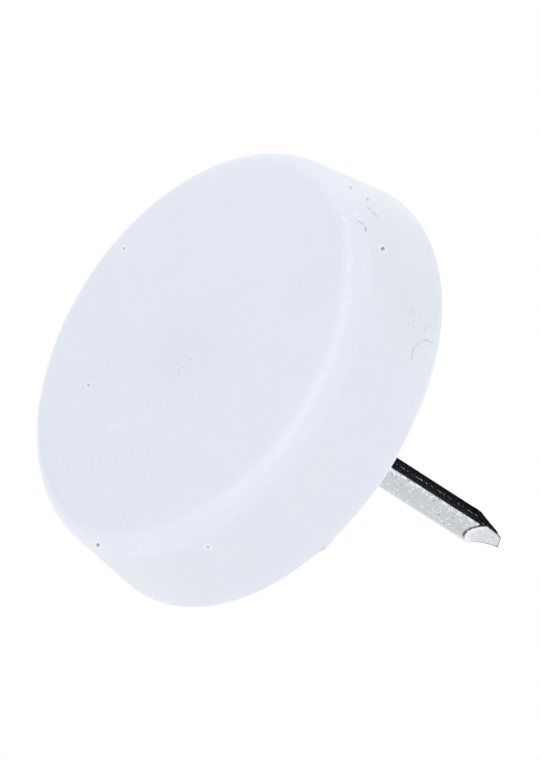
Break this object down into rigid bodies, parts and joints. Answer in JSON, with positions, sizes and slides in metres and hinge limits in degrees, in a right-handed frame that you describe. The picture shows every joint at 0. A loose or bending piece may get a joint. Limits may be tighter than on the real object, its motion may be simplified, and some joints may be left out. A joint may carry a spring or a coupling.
{
  "type": "furniture glide",
  "caption": "Round white plastic furniture glide with a rounded sliding face, a flared side, a cored back and a steel nail that is driven into a chair or table leg.",
  "frame": {"origin": "middle of the sliding face, on the floor that the glide stands on", "axes": "+Z along the nail, from the sliding face towards the point; the pad is round about Z"},
  "size_m": [0.024, 0.024, 0.025],
  "materials": {
    "pad_plastic": "satin moulded polyethylene, slightly translucent",
    "nail_steel": "bright drawn wire"
  },
  "bodies": {
    "root": {"pad": "pad_plastic", "nail": "nail_steel"}
  },
  "joints": []
}
